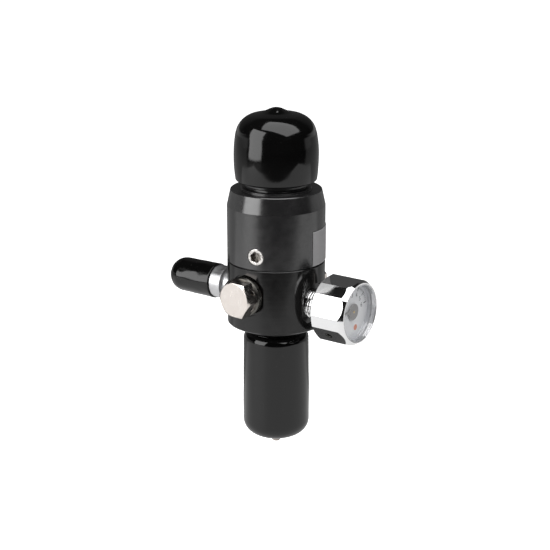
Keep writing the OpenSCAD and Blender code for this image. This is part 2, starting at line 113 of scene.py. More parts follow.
AXIS = (Vector((0, 0, 0)), UP)
GAUGE_AXIS = port("gauge_window")
NIPPLE_AXIS = port("nipple_poppet")
LOW_AXIS = port("low_burst_disc")
HIGH_AXIS = port("high_burst_disc")
GAUGE_OUT = GAUGE_AXIS[1]
NIPPLE_OUT = NIPPLE_AXIS[1]

# The vent is a small hole in one lower facet of the gauge's case.
VENT_OUT = 26 * MM
VENT_DIP = radians(40)
VENT_AXIS = (
    GAUGE_AXIS[0] + GAUGE_OUT * VENT_OUT,
    GAUGE_OUT.cross(UP) * cos(VENT_DIP) - UP * sin(VENT_DIP),
)

# Height of the burst plugs' flange along their axes, below the hex.
PLUG_HEX_H = 4.4 * MM
PLUG_FLANGE = max(reach(NODES["low_burst_plug"].data, LOW_AXIS[1])) - PLUG_HEX_H

BEZEL_R = max((v.co - GAUGE_AXIS[0]).cross(GAUGE_OUT).length for v in NODES["gauge_bezel"].data.vertices)

# The set screw in front, and the height of its face along its own axis.
SCREW_POINTS = [v.co.copy() for v in NODES["bonnet_set_screws"].data.vertices if v.co.y < 0]
SCREW_OUT = level(sum(SCREW_POINTS, Vector()))
SCREW_FACE = max(point.dot(SCREW_OUT) for point in SCREW_POINTS)


# ---------------------------------------------------------------- material tools

class Tree:
    """Short calls that add nodes to a node tree. Values are numbers, colours or sockets."""

    def __init__(self, tree):
        self.tree = tree

    def add(self, kind, **settings):
        """Adds one node with its settings."""
        node = self.tree.nodes.new("ShaderNode" + kind)
        for key, value in settings.items():
            setattr(node, key, value)
        return node

    def link(self, source, target):
        self.tree.links.new(source, target)

    def feed(self, socket, value):
        """Sets a socket from a number, a colour or another socket."""
        if isinstance(value, bpy.types.NodeSocket):
            self.link(value, socket)
        else:
            socket.default_value = value

    def math(self, operation, a, b=0.0):
        node = self.add("Math", operation=operation)
        self.feed(node.inputs[0], a)
        self.feed(node.inputs[1], b)
        return node.outputs[0]

    def plus(self, a, b):
        return self.math("ADD", a, b)

    def times(self, product, *factors):
        """Product of two or more values."""
        for factor in factors:
            product = self.math("MULTIPLY", product, factor)
        return product

    def size(self, value):
        """Value without its sign."""
        return self.math("ABSOLUTE", value)

    def vector(self, operation, a, b=(0, 0, 0)):
        """Vector calculation; b is a number for SCALE and isn't used for LENGTH."""
        node = self.add("VectorMath", operation=operation)
        self.feed(node.inputs[0], a)
        if operation == "SCALE":
            self.feed(node.inputs["Scale"], b)
        elif operation != "LENGTH":
            self.feed(node.inputs[1], b)
        scalar = operation in ("DOT_PRODUCT", "LENGTH")
        return node.outputs["Value" if scalar else "Vector"]

    def parts(self, vector):
        """X, Y and Z of a vector."""
        node = self.add("SeparateXYZ")
        self.link(vector, node.inputs[0])
        return tuple(node.outputs)

    def place(self):
        """Point of the surface in the object's own frame."""
        return self.add("TexCoord").outputs["Object"]

    def noise(self, grain, where=None, detail=2.0, stretch=(1, 1, 1)):
        """Noise from 0 to 1 whose grain is in metres."""
        node = self.add("TexNoise")
        where = self.place() if where is None else where
        if stretch != (1, 1, 1):
            where = self.vector("MULTIPLY", where, stretch)
        self.link(where, node.inputs["Vector"])
        node.inputs["Scale"].default_value = 1 / grain
        node.inputs["Detail"].default_value = detail
        return node.outputs["Fac"]

    def spread(self, value, low, high, to_low=0.0, to_high=1.0):
        """Maps the range low..high to to_low..to_high, smoothly and clamped."""
        node = self.add("MapRange", interpolation_type="SMOOTHSTEP")
        self.feed(node.inputs["Value"], value)
        self.feed(node.inputs["From Min"], low)
        self.feed(node.inputs["From Max"], high)
        self.feed(node.inputs["To Min"], to_low)
        self.feed(node.inputs["To Max"], to_high)
        return node.outputs["Result"]

    def mix(self, share, a, b):
        """Mixes two colours."""
        node = self.add("Mix", data_type="RGBA")
        self.feed(node.inputs["Factor"], share)
        colours = [socket for socket in node.inputs if socket.type == "RGBA"]
        for socket, value in zip(colours, (a, b)):
            self.feed(socket, (*value, 1) if isinstance(value, tuple) else value)
        return next(socket for socket in node.outputs if socket.type == "RGBA")

    def turned(self, axis):
        """(radius, height) of a point about an axis, as a flat vector for lathe marks."""
        origin, direction = axis
        local = self.vector("SUBTRACT", self.place(), tuple(origin))
        height = self.vector("DOT_PRODUCT", local, tuple(direction))
        along = self.vector("SCALE", tuple(direction), height)
        radius = self.vector("LENGTH", self.vector("SUBTRACT", local, along))
        flat = self.add("CombineXYZ")
        self.link(radius, flat.inputs["X"])
        self.link(height, flat.inputs["Y"])
        return flat.outputs["Vector"]

    def rounded(self, radius):
        """Surface normal with its edges rounded."""
        node = self.add("Bevel", samples=4)
        node.inputs["Radius"].default_value = radius
        return node.outputs["Normal"]

    def worn_edge(self, radius):
        """1 on sharp edges, 0 elsewhere."""
        flat = self.add("NewGeometry").outputs["Normal"]
        facing = self.vector("DOT_PRODUCT", self.rounded(radius), flat)
        return self.spread(facing, 0.97, 0.75)

    def scratches(self, width, turn):
        """Fine straight scratches, 1 in a scratch and 0 beside it; turn sets the way they run."""
        where = self.place()
        spin = self.add("VectorRotate", rotation_type="EULER_XYZ")
        self.link(where, spin.inputs["Vector"])
        spin.inputs["Rotation"].default_value = (turn, turn * 0.7, turn * 1.3)
        streaks = self.noise(width, spin.outputs["Vector"], 1.0, (1, 0.03, 1))
        line = self.spread(self.size(self.math("SUBTRACT", streaks, 0.5)), 0, 0.015, 1, 0)
        breaks = self.noise(width * 12, where, 1.0)
        return self.times(line, self.spread(breaks, 0.5, 0.62))


class Look(Tree):
    """One Principled material."""

    def __init__(self, name, colour, rough, metal=0.0, ior=1.5):
        self.material = bpy.data.materials.new(name)
        self.material.use_nodes = True
        super().__init__(self.material.node_tree)
        self.shader = self.tree.nodes["Principled BSDF"]
        self.set("Base Color", (*colour, 1))
        self.set("Roughness", rough)
        self.set("Metallic", metal)
        self.set("IOR", ior)

    def set(self, name, value):
        """Sets one input of the shader."""
        self.feed(self.shader.inputs[name], value)

    def bump(self, *layers, edge=0.0):
        """Stacks bumps given as (height, depth in metres), over edges rounded by edge metres."""
        normal = self.rounded(edge) if edge else None
        for height, depth in layers:
            node = self.add("Bump")
            node.inputs["Strength"].default_value = 1.0
            node.inputs["Distance"].default_value = depth
            self.link(height, node.inputs["Height"])
            if normal is not None:
                self.link(normal, node.inputs["Normal"])
            normal = node.outputs["Normal"]
        self.set("Normal", normal)


# ---------------------------------------------------------------- materials

BRASS = ((0.62, 0.44, 0.16), (0.82, 0.63, 0.30))
STEEL = ((0.56, 0.56, 0.57), (0.76, 0.76, 0.77))
COPPER = ((0.56, 0.27, 0.15), (0.80, 0.46, 0.30))
BRONZE = ((0.55, 0.33, 0.16), (0.74, 0.50, 0.28))
SATIN_BLACK = ((0.010, 0.010, 0.0105), (0.016, 0.0155, 0.016))
GLOSS_BLACK = ((0.006, 0.006, 0.0062), (0.010, 0.0097, 0.0095))
VINYL_BLACK = ((0.0018, 0.0018, 0.0019), (0.0034, 0.0033, 0.0032))
CHROME_PLATE = ((0.90, 0.905, 0.915), (0.95, 0.945, 0.94))
SCREW_PLATE = ((0.80, 0.76, 0.72), (0.93, 0.91, 0.89))
# Darker colours painted into the set screw's socket as painted shade.
SOCKET_PAINTED_SHADE = ((0.12, 0.11, 0.10), (0.50, 0.47, 0.43))
NICKEL_PLATE = ((0.76, 0.69, 0.64), (0.86, 0.81, 0.77))
SPRING = ((0.30, 0.29, 0.29), (0.60, 0.60, 0.62))
NITRILE = ((0.012, 0.012, 0.012), (0.045, 0.044, 0.042))
NYLON = ((0.80, 0.79, 0.72), (0.90, 0.89, 0.84))
LABEL = ((0.31, 0.305, 0.31), (0.38, 0.375, 0.38))
ENAMEL = ((0.80, 0.81, 0.83), (0.70, 0.715, 0.74))
SEAL = ((0.56, 0.57, 0.60), (0.66, 0.67, 0.70))
# Ball colour, then the painted shade in the gaps between the balls.
BALL_AND_GAP_SHADE = ((0.62, 0.44, 0.22), (0.12, 0.08, 0.04))

# Paler grey for the painted edge highlight on anodised parts.
PAINTED_EDGE_HIGHLIGHT = (0.16, 0.16, 0.16)
DUST = (0.3, 0.29, 0.28)
# Pale colour painted on the lowest end of the bottle cap, a painted glow of the white backdrop.
TIP_PAINTED_GLOW = (0.50, 0.43, 0.39)
RIM_LINE = (0.22, 0.23, 0.25)
# Painted shade inside the gauge case's vent hole.
HOLE_PAINTED_SHADE = (0.045, 0.045, 0.042)
# Painted shade for the burst plugs' flange below the hex.
FLANGE_PAINTED_SHADE = (0.13, 0.125, 0.115)
LABEL_BORDER = (0.42, 0.415, 0.42)
POINTER_GREY = (0.22, 0.215, 0.215)
INK_BLUE = (0.03, 0.035, 0.05)
DOT_ORANGE = (0.75, 0.20, 0.07)


def anodised(name, colours, rough, ior):
    """Black anodised aluminium with lathe marks; its sharp edges are painted paler as a painted edge
    highlight, and are rougher.
    """
    look = Look(name, colours[1], rough, ior=ior)
    highlight_edges = look.worn_edge(0.12 * MM)
    cloud = look.mix(look.noise(14 * MM, detail=3), *colours)
    # Painted edge highlight: sharp edges are painted a paler grey.
    look.set("Base Color", look.mix(look.times(highlight_edges, 0.6), cloud, PAINTED_EDGE_HIGHLIGHT))
    smear = look.spread(look.noise(3 * MM, detail=4), 0.3, 0.7, rough - 0.03, rough + 0.05)
    look.set("Roughness", look.plus(smear, look.times(highlight_edges, 0.1)))
    turned = look.turned(AXIS)
    fine = look.noise(0.35 * MM, turned, 3)
    coarse = look.noise(1.2 * MM, turned, 2)
    look.bump((fine, 0.004 * MM), (coarse, 0.006 * MM), edge=0.1 * MM)
    return look.material


def vinyl(name, tip=None):
    """Glossy dip-moulded black vinyl with specks of dust; tip gives the heights between which it fades from a
    pale end, a painted glow of the white backdrop, up to black."""
    look = Look(name, VINYL_BLACK[1], 0.1)
    dust = look.spread(look.noise(0.28 * MM, detail=1), 0.77, 0.82)
    smear = look.noise(9 * MM, detail=3)
    colour = look.mix(smear, *VINYL_BLACK)
    if tip:
        low, high = tip
        height = look.parts(look.place())[2]
        # Painted glow: the lowest end is painted pale, fading to black higher up.
        colour = look.mix(look.spread(height, high, low), colour, TIP_PAINTED_GLOW)
    look.set("Base Color", look.mix(look.times(dust, 0.25), colour, DUST))
    gloss = look.spread(smear, 0.35, 0.7, 0.07, 0.13)
    look.set("Roughness", look.plus(gloss, look.times(dust, 0.3)))
    sag = look.noise(4.5 * MM, detail=1)
    orange_peel = look.noise(0.7 * MM, detail=2)
    look.bump((sag, 0.02 * MM), (orange_peel, 0.0012 * MM))
    return look.material


def chrome(name, axis, rim=0.0, pit=None):
    """Bright chrome plate over polished brass. rim is the radius of a fine dark line, and pit the axis of a
    small hole whose inside is painted with shade."""
    look = Look(name, CHROME_PLATE[1], 0.05, metal=1)
    turned = look.turned(axis)
    smear = look.noise(2.5 * MM, detail=4)
    marks = look.scratches(0.5 * MM, 0.6)
    plate = look.mix(smear, *CHROME_PLATE)
    if rim:
        radius = look.parts(turned)[0]
        line = look.spread(radius, rim - 0.35 * MM, rim - 0.1 * MM, 0, 0.75)
        plate = look.mix(line, plate, RIM_LINE)
    if pit:
        # Painted shade: the inside of the vent hole is darkened.
        radius, height, _ = look.parts(look.turned(pit))
        hole = look.times(look.spread(radius, 1.3 * MM, 1.1 * MM), look.spread(height, 0, MM))
        plate = look.mix(hole, plate, HOLE_PAINTED_SHADE)
    look.set("Base Color", plate)
    gloss = look.spread(smear, 0.4, 0.75, 0.035, 0.09)
    look.set("Roughness", look.plus(gloss, look.times(marks, 0.12)))
    ripple = look.noise(3.2 * MM, detail=1)
    lathe_marks = look.noise(0.5 * MM, turned, 1)
    look.bump((ripple, 0.008 * MM), (marks, -0.0015 * MM), (lathe_marks, 0.0015 * MM), edge=0.12 * MM)
    return look.material


def socket_screw():
    """Bright plated set screw; its socket is painted with shade and made rougher."""
    look = Look("plated_socket_screw", SCREW_PLATE[1], 0.1, metal=1)
    height = look.size(look.vector("DOT_PRODUCT", look.place(), tuple(SCREW_OUT)))
    # Painted shade: the socket, below the screw's face, is darkened.
    painted_shade_zone = look.spread(height, SCREW_FACE - 0.1 * MM, SCREW_FACE - 0.3 * MM)
    smear = look.noise(0.7 * MM, detail=4)
    socket_shade_colour = look.mix(look.spread(smear, 0.35, 0.65), *SOCKET_PAINTED_SHADE)
    look.set("Base Color", look.mix(painted_shade_zone, look.mix(smear, *SCREW_PLATE), socket_shade_colour))
    gloss = look.spread(smear, 0.4, 0.7, 0.07, 0.16)
    look.set("Roughness", look.plus(gloss, look.times(painted_shade_zone, 0.35)))
    look.bump((look.noise(0.8 * MM, detail=2), 0.06 * MM), edge=0.3 * MM)
    return look.material


def nickel(name, axis, flange):
    """Polished nickel plate, faintly warm, with fine scratches; below the height flange it is darkened with
    painted shade and made rougher.
    """
    look = Look(name, NICKEL_PLATE[1], 0.16, metal=1)
    turned = look.turned(axis)
    height = look.parts(turned)[1]
    painted_shade_zone = look.spread(height, flange + 0.15 * MM, flange)
    smear = look.noise(2.2 * MM, detail=4)
    marks = look.math("MAXIMUM", look.scratches(0.45 * MM, 0.4), look.scratches(0.6 * MM, 1.9))
    # Painted shade: below the hex the flange is darkened.
    look.set("Base Color", look.mix(painted_shade_zone, look.mix(smear, *NICKEL_PLATE), FLANGE_PAINTED_SHADE))
    gloss = look.plus(look.spread(smear, 0.35, 0.7, 0.11, 0.24), look.times(painted_shade_zone, 0.12))
    look.set("Roughness", look.plus(gloss, look.times(marks, 0.15)))
    ripple = look.noise(2.4 * MM, detail=2)
    lathe_marks = look.noise(0.4 * MM, turned, 2)
    look.bump((ripple, 0.016 * MM), (lathe_marks, 0.002 * MM), (marks, -0.004 * MM), edge=0.2 * MM)
    return look.material


def turned_metal(name, colours, axis, rough=0.24):
    """Bare turned metal with lathe marks."""
    look = Look(name, colours[1], rough, metal=1)
    smear = look.noise(2.5 * MM, detail=4)
    look.set("Base Color", look.mix(smear, *colours))
    look.set("Roughness", look.spread(smear, 0.3, 0.7, rough - 0.06, rough + 0.1))
    look.bump((look.noise(0.45 * MM, look.turned(axis), 2), 0.006 * MM), edge=0.08 * MM)
    return look.material


def spring_steel():
    """Oiled spring steel with darker patches."""
    look = Look("spring_steel", SPRING[1], 0.3, metal=1)
    smear = look.noise(1.2 * MM, detail=4)
    look.set("Base Color", look.mix(smear, *SPRING))
    look.set("Roughness", look.spread(smear, 0.3, 0.7, 0.2, 0.42))
    look.bump((look.noise(0.3 * MM, detail=3), 0.004 * MM))
    return look.material


def sintered_bronze():
    """Porous bronze: packed balls, with painted shade in the gaps between them."""
    look = Look("sintered_bronze", BALL_AND_GAP_SHADE[0], 0.45, metal=1)
    cells = look.add("TexVoronoi")
    look.link(look.place(), cells.inputs["Vector"])
    cells.inputs["Scale"].default_value = 1 / (0.4 * MM)
    gap = look.spread(cells.outputs["Distance"], 0.3, 0.65)
    # Painted shade: the gaps between the balls are darkened.
    look.set("Base Color", look.mix(gap, *BALL_AND_GAP_SHADE))
    look.set("Roughness", look.spread(gap, 0, 1, 0.35, 0.8))
    look.bump((look.math("SUBTRACT", 1.0, gap), 0.06 * MM))
    return look.material


def nitrile():
    """Matt black nitrile rubber with a faint bloom."""
    look = Look("black_nitrile", NITRILE[0], 0.5)
    bloom = look.noise(1.5 * MM, detail=5)
    look.set("Base Color", look.mix(look.spread(bloom, 0.4, 0.75), *NITRILE))
    look.set("Roughness", look.spread(bloom, 0.3, 0.7, 0.42, 0.62))
    look.bump((look.noise(0.2 * MM, detail=2), 0.004 * MM))
    return look.material


def nylon():
    """Machined off-white nylon."""
    look = Look("white_nylon", NYLON[1], 0.42)
    smear = look.noise(1.5 * MM, detail=3)
    look.set("Base Color", look.mix(smear, *NYLON))
    look.set("Roughness", look.spread(smear, 0.3, 0.7, 0.36, 0.5))
    look.bump((look.noise(0.3 * MM, look.turned(AXIS), 2), 0.008 * MM))
    return look.material


def label_foil():
    """Satin grey foil, brushed level, a little brighter along its upper and lower borders."""
    look = Look("label_foil", LABEL[1], 0.38, metal=0.35)
    brushed = look.noise(0.25 * MM, stretch=(0.06, 0.06, 1), detail=2)
    colour = look.mix(look.noise(6 * MM, detail=3), *LABEL)
    low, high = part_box("rating_label")
    half = (high.z - low.z) / 2
    height = look.parts(look.place())[2]
    off = look.size(look.math("SUBTRACT", height, low.z + half))
    border = look.spread(off, half - 0.35 * MM, half - 0.2 * MM)
    look.set("Base Color", look.mix(border, colour, LABEL_BORDER))
    look.set("Roughness", look.spread(brushed, 0.3, 0.7, 0.3, 0.45))
    look.bump((brushed, 0.004 * MM))
    return look.material


def dial_white():
    """White enamel, slightly shaded towards its rim."""
    look = Look("dial_white", ENAMEL[0], 0.35)
    radius = look.parts(look.turned(GAUGE_AXIS))[0]
    look.set("Base Color", look.mix(look.spread(radius, 6 * MM, 9 * MM), *ENAMEL))
    look.set("Roughness", look.spread(look.noise(1.2 * MM, detail=4), 0.3, 0.7, 0.3, 0.42))
    look.bump((look.noise(0.5 * MM, detail=2), 0.002 * MM))
    return look.material


def seal_white():
    """Pale grey moulded ring between the dial and the window."""
    look = Look("seal_white", SEAL[1], 0.3)
    smear = look.noise(2 * MM, detail=3)
    look.set("Base Color", look.mix(smear, *SEAL))
    look.set("Roughness", look.spread(smear, 0.3, 0.7, 0.24, 0.38))
    look.bump((look.noise(0.5 * MM, look.turned(GAUGE_AXIS), 1), 0.004 * MM))
    return look.material


def paint(name, colour, rough):
    """Thin printed or sprayed paint with a little mottling."""
    look = Look(name, colour, rough)
    darker = tuple(0.8 * c for c in colour)
    smear = look.noise(0.6 * MM, detail=4)
    look.set("Base Color", look.mix(smear, darker, colour))
    look.set("Roughness", look.spread(smear, 0.3, 0.7, rough - 0.05, rough + 0.1))
    look.bump((look.noise(0.2 * MM, detail=2), 0.002 * MM))
    return look.material


def clear_window():
    """Clear polycarbonate: it mirrors more as the view slants and lets the rest straight through."""
    look = Look("clear_window", (1, 1, 1), 0.03, metal=1)
    look.set("Roughness", look.spread(look.noise(3 * MM, detail=3), 0.4, 0.7, 0.02, 0.06))
    eye = look.add("NewGeometry")
    facing = look.vector("DOT_PRODUCT", eye.outputs["Normal"], eye.outputs["Incoming"])
    slant = look.math("SUBTRACT", 1.0, look.size(facing))
    mirror = look.times(look.math("POWER", slant, 5.0), 0.96)
    look.set("Alpha", look.plus(mirror, 0.04))
    look.material.blend_method = "BLEND"
    return look.material


def dress(material, *names):
    """Gives CAD nodes a material."""
    for name in names:
        slots = NODES[name].data.materials
        slots.clear()
        slots.append(material)
        for face in NODES[name].data.polygons:
            face.material_index = 0


dress(anodised("satin_black_anodised", SATIN_BLACK, 0.2, 1.88), "bonnet")
dress(anodised("gloss_black_anodised", GLOSS_BLACK, 0.13, 1.48), "body")
dress(chrome("chrome_plate", GAUGE_AXIS, pit=VENT_AXIS), "gauge_case", "gauge_stem")
dress(chrome("chrome_plate_rim", GAUGE_AXIS, rim=BEZEL_R), "gauge_bezel")
dress(socket_screw(), "bonnet_set_screws")
dress(nickel("nickel_plate", LOW_AXIS, PLUG_FLANGE), "low_burst_plug")
dress(nickel("nickel_plate_high", HIGH_AXIS, PLUG_FLANGE), "high_burst_plug")
dress(turned_metal("copper", COPPER, LOW_AXIS), "low_burst_washer", "low_burst_disc")
dress(turned_metal("copper_high", COPPER, HIGH_AXIS), "high_burst_washer", "high_burst_disc")
dress(turned_metal("stainless_steel", STEEL, AXIS),
      "piston", "outlet_pin", "filter_retainer", "spring_shims")
dress(turned_metal("stainless_steel_port", STEEL, NIPPLE_AXIS, rough=0.34),
      "fill_nipple", "nipple_poppet")
dress(turned_metal("brass", BRASS, AXIS), "seat_housing", "outlet_valve_core")
dress(turned_metal("brass_port", BRASS, NIPPLE_AXIS), "nipple_spring_stop")
dress(turned_metal("brass_gauge", BRASS, GAUGE_AXIS),
      "gauge_movement_frame", "gauge_sector_gear", "gauge_pinion")
dress(turned_metal("phosphor_bronze", BRONZE, GAUGE_AXIS), "gauge_bourdon_tube")
dress(spring_steel(), "disc_springs", "outlet_pin_spring", "nipple_spring")
dress(sintered_bronze(), "inlet_filter")
dress(nitrile(),
      "bottle_neck_oring", "seat_housing_oring", "piston_head_oring", "piston_stem_oring",
      "outlet_face_oring", "outlet_core_oring", "outlet_pin_seal", "nipple_oring", "nipple_poppet_seal")
dress(nylon(), "valve_seat")
dress(label_foil(), "rating_label")
dress(dial_white(), "gauge_dial")
dress(seal_white(), "gauge_window_seal")
dress(paint("pointer_grey", POINTER_GREY, 0.4), "gauge_pointer")
dress(clear_window(), "gauge_window")


# ---------------------------------------------------------------- mesh tools

def arc(cx, cy, r, start, end, steps):
    """Points on an arc about (cx, cy), angles in degrees."""
    turns = [radians(start + (end - start) * i / steps) for i in range(steps + 1)]
    return [(cx + r * cos(a), cy + r * sin(a)) for a in turns]


def line(start, end, steps):
    """Points from start up to, but not including, end."""
    return [tuple(a + (b - a) * i / steps for a, b in zip(start, end)) for i in range(steps)]


def bm_to_mesh(bm, name, place):
    """Turns a bmesh into a mesh with its faces outwards, moved to its place by a matrix."""
    bmesh.ops.recalc_face_normals(bm, faces=bm.faces)
    bm.transform(place)
    mesh = bpy.data.meshes.new(name)
    bm.to_mesh(mesh)
    bm.free()
    return mesh


def in_scene(name, data):
    """Puts an object with this data into the scene."""
    holder = bpy.data.objects.new(name, data)
    bpy.context.scene.collection.objects.link(holder)
    return holder


def add_piece(name, mesh, body, replaced=None):
    """Makes a piece from a mesh in the row frame; replaced names the CAD node that it stands in for."""
    piece = in_scene(name, mesh)
    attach(piece, body)
    if replaced:
        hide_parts(replaced)
    return piece


def lathe(name, profile, place, dent, segments):
    """Closed mesh turned from a profile of (radius, height) in millimetres whose two ends lie on the axis.
    dent(angle, radius, height, share) moves a point; share runs from 0 to 1 along the profile."""
    bm = bmesh.new()
    rings = []
    last = len(profile) - 1
    for k, (radius, height) in enumerate(profile):
        if k in (0, last):
            h = dent(0, 0, height, k / last)[1]
            rings.append([bm.verts.new((0, 0, h))])
            continue
        ring = []
        for i in range(segments):
            angle = 2 * pi * i / segments
            r, h = dent(angle, radius, height, k / last)
            ring.append(bm.verts.new((r * cos(angle), r * sin(angle), h)))
        rings.append(ring)
    for low, high in zip(rings, rings[1:]):
        for i in range(segments):
            j = (i + 1) % segments
            if len(low) == 1:
                bm.faces.new((low[0], high[i], high[j]))
            elif len(high) == 1:
                bm.faces.new((low[i], high[0], low[j]))
            else:
                bm.faces.new((low[i], high[i], high[j], low[j]))
    mesh = bm_to_mesh(bm, name, place @ Matrix.Scale(MM, 4))
    mesh.shade_smooth()
    return mesh


# ---------------------------------------------------------------- vinyl caps

# Sizes in millimetres: the waves of a cap's skin, and the cylinder on which their noise is read.
WAVE_H = 0.08
WAVE_R = 13


def wave(angle, height, seed, grain):
    """Smooth noise from -1 to 1 round a cap."""
    point = (cos(angle) * WAVE_R / grain + seed, sin(angle) * WAVE_R / grain, height / grain)
    return noise.noise(Vector(point))


def dimple(point, marks):
    """Sum of round marks pressed into a cap, each (x, y, z, size, depth) in millimetres."""
    total = 0
    for x, y, z, size, depth in marks:
        total += depth * exp(-((point - Vector((x, y, z))).length / size) ** 2)
    return total


def held(from_rim, r, rim_hold, axis_hold):
    """How freely the skin waves: 0 at the rim and on the axis, 1 once both are far enough away."""
    return min(1, max(0, from_rim / rim_hold)) * min(1, r / axis_hold)


def cap(node, outer, inner, look, dent, place=Matrix.Identity(4), segments=192):
    """Makes one vinyl cap in place of its CAD node. Only the outer skin is dented."""
    skin = len(outer) / (len(outer) + len(inner))

    def dent_skin(angle, r, h, share):
        if share > skin or r == 0:
            return r, h
        return dent(angle, r, h)

    name = node + "_vinyl"
    mesh = lathe(name, outer + inner, place, dent_skin, segments)
    mesh.materials.append(look)
    add_piece(name, mesh, node, node)


def outlet_cap():
    """Upper cap: bulged sides, wide soft shoulder, a low drip hump on the crown."""
    low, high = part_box("outlet_cap")
    rim = low.z / MM
    top = high.z / MM
    dome_h = 0.89
    hump_h = 1.27
    hump_r = 5.44
    shoulder_r = 7.07
    shoulder_x = 5.9
    shoulder_top = 78
    shoulder_end = 12
    dome_r = shoulder_x + shoulder_r * cos(radians(shoulder_top))
    shoulder_z = top - hump_h - dome_h - shoulder_r * sin(radians(shoulder_top))
    belly_r = 13.62
    belly_z = rim + 7.5
    belly_bend = 0.0111
    rim_round = 0.6
    bore_r = 11.3
    bore_lip = 0.5
    bore_round = 2.5
    bore_end = rim + 17.7

    def side(z):
        return belly_r - belly_bend * (z - belly_z) ** 2

    def crown(r):
        hump = hump_h * (1 + cos(pi * min(1, r / hump_r))) / 2
        return top - hump_h - dome_h + dome_h * (1 - (r / dome_r) ** 2) + hump

    outer = [(r, crown(r)) for r in (dome_r * i / 30 for i in range(30))]
    outer += arc(shoulder_x, shoulder_z, shoulder_r, shoulder_top, shoulder_end, 24)
    start = outer[-1][1]
    stop = rim + rim_round
    outer += [(side(z), z) for z in (start + (stop - start) * i / 36 for i in range(1, 37))]
    outer += arc(side(stop) - rim_round, stop, rim_round, 0, -80, 6)[1:]
    inner = arc(bore_r + bore_lip, rim + bore_lip, bore_lip, -100, -180, 5)
    inner += line((bore_r, rim + 1), (bore_r, rim + 15), 6)
    inner += arc(bore_r - bore_round, bore_end - bore_round, bore_round, 0, 90, 6)
    inner += [(4, bore_end), (0, bore_end)]

    finger_r = 13
    turns = [radians(a) for a in (-142, -36)]
    finger_marks = [(finger_r * cos(a), finger_r * sin(a), rim + 13.5, 3.0, -0.12) for a in turns]
    drip_mark = [(0.4, -2.9, top - 0.8, 0.5, 0.26)]

    def dent(angle, r, z):
        point = Vector((r * cos(angle), r * sin(angle), z))
        push = WAVE_H * wave(angle, z, 3.1, 7) - 0.04 + dimple(point, finger_marks)
        return r + held(z - rim, r, 4, 6) * push, z + dimple(point, drip_mark)

    cap("outlet_cap", outer, inner, vinyl("black_vinyl"), dent)


def bottle_cap():
    """Lower cap: long straight sides, round shoulders, a small drip under its end, painted pale as a glow of
    the backdrop.
    """
    low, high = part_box("bottle_cap")
    rim = high.z / MM
    tip = low.z / MM
    end = tip + 3.5
    end_r = 5.3
    waist_r = 11.03
    waist_top = rim - 25
    rim_r = 10.72
    lip_r = 2.8
    lip = rim - lip_r * sin(radians(70))
    bore_r = 8.7
    bore_lip = 0.35
    bore_round = 2.9
    bore_end = end + 2.1
    drip_fade = (low.z + 0.5 * MM, low.z + 3.4 * MM)

    outer = [(0, tip), (0.7, tip + 0.05), (1.2, tip + 0.25), (1.55, tip + 0.7), (1.75, tip + 1.5)]
    outer += [(1.9, tip + 2.5), (2.1, end - 0.5), (2.5, end - 0.25)]
    outer += line((3, end - 0.1), (waist_r - end_r, end), 8)
    outer += arc(waist_r - end_r, end + end_r, end_r, -90, 0, 20)
    outer += line((waist_r, end + end_r + 1), (waist_r, waist_top), 6)
    outer += line((waist_r, waist_top), (rim_r, lip), 36)
    outer += arc(rim_r - lip_r, lip, lip_r, 0, 70, 14)
    inner = arc(bore_r + bore_lip, rim - bore_lip, bore_lip, 100, 180, 5)
    inner += line((bore_r, rim - 1), (bore_r, end + 5), 6)
    inner += arc(bore_r - 3, end + 5, bore_round, 0, -90, 6)
    inner += [(3, bore_end), (0, bore_end)]

    def dent(angle, r, z):
        push = WAVE_H * wave(angle, z, 8.7, 9) - 0.01
        return r + held(rim - z, r, 5, 6) * push, z

    cap("bottle_cap", outer, inner, vinyl("black_vinyl_drip", drip_fade), dent)


def nipple_cap():
    """Small cap over the fill nipple, with a domed end."""
    depths = reach(NODES["nipple_cap"].data, NIPPLE_OUT)
    rim = min(depths) / MM
    end = max(depths) / MM
    rim_r = 5.9
    lip_r = 0.3
    end_r = 5.75
    round_r = 5.35
    bore_r = 4.75
    bore_lip = 0.4
    bore_round = 2.55
    bore_end = end - 2.15

    outer = [(0, end)] + arc(end_r - round_r, end - round_r, round_r, 90, 0, 24)
    outer += line((end_r, end - round_r - 0.5), (rim_r, rim + lip_r), 40)
    outer += arc(rim_r - lip_r, rim + lip_r, lip_r, 0, -85, 5)
    inner = arc(bore_r + bore_lip, rim + bore_lip, bore_lip, -90, -180, 4)
    inner += line((bore_r, rim + 1), (bore_r, end - 4.8), 6)
    inner += arc(bore_r - bore_round, end - 4.7, bore_round, 0, 90, 6)
    inner += [(0, bore_end)]

    def dent(angle, r, t):
        push = WAVE_H * wave(angle, t, 5.3, 4) - 0.03
        return r + held(t - rim, r, 3, 3) * push, t

    # Local Z points out along the nipple, and local X down.
    down = -UP
    basis = Matrix((down, NIPPLE_OUT.cross(down), NIPPLE_OUT)).transposed().to_4x4()
    place = Matrix.Translation(NIPPLE_AXIS[0]) @ basis
    cap("nipple_cap", outer, inner, vinyl("black_vinyl_small"), dent, place, 144)


outlet_cap()
bottle_cap()
nipple_cap()


# ---------------------------------------------------------------- springs

def pressed_spring(name, node, body):
    """Stands in for a CAD spring with its own copy of the spring's mesh, attached to a body."""
    piece = add_piece(name, NODES[node].data.copy(), body, node)
    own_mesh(piece)


pressed_spring("pressed_disc_springs", "disc_springs", "regulator_body")
pressed_spring("pressed_pin_spring", "outlet_pin_spring", "bonnet")
pressed_spring("pressed_nipple_spring", "nipple_spring", "regulator_body")


# ---------------------------------------------------------------- dial print

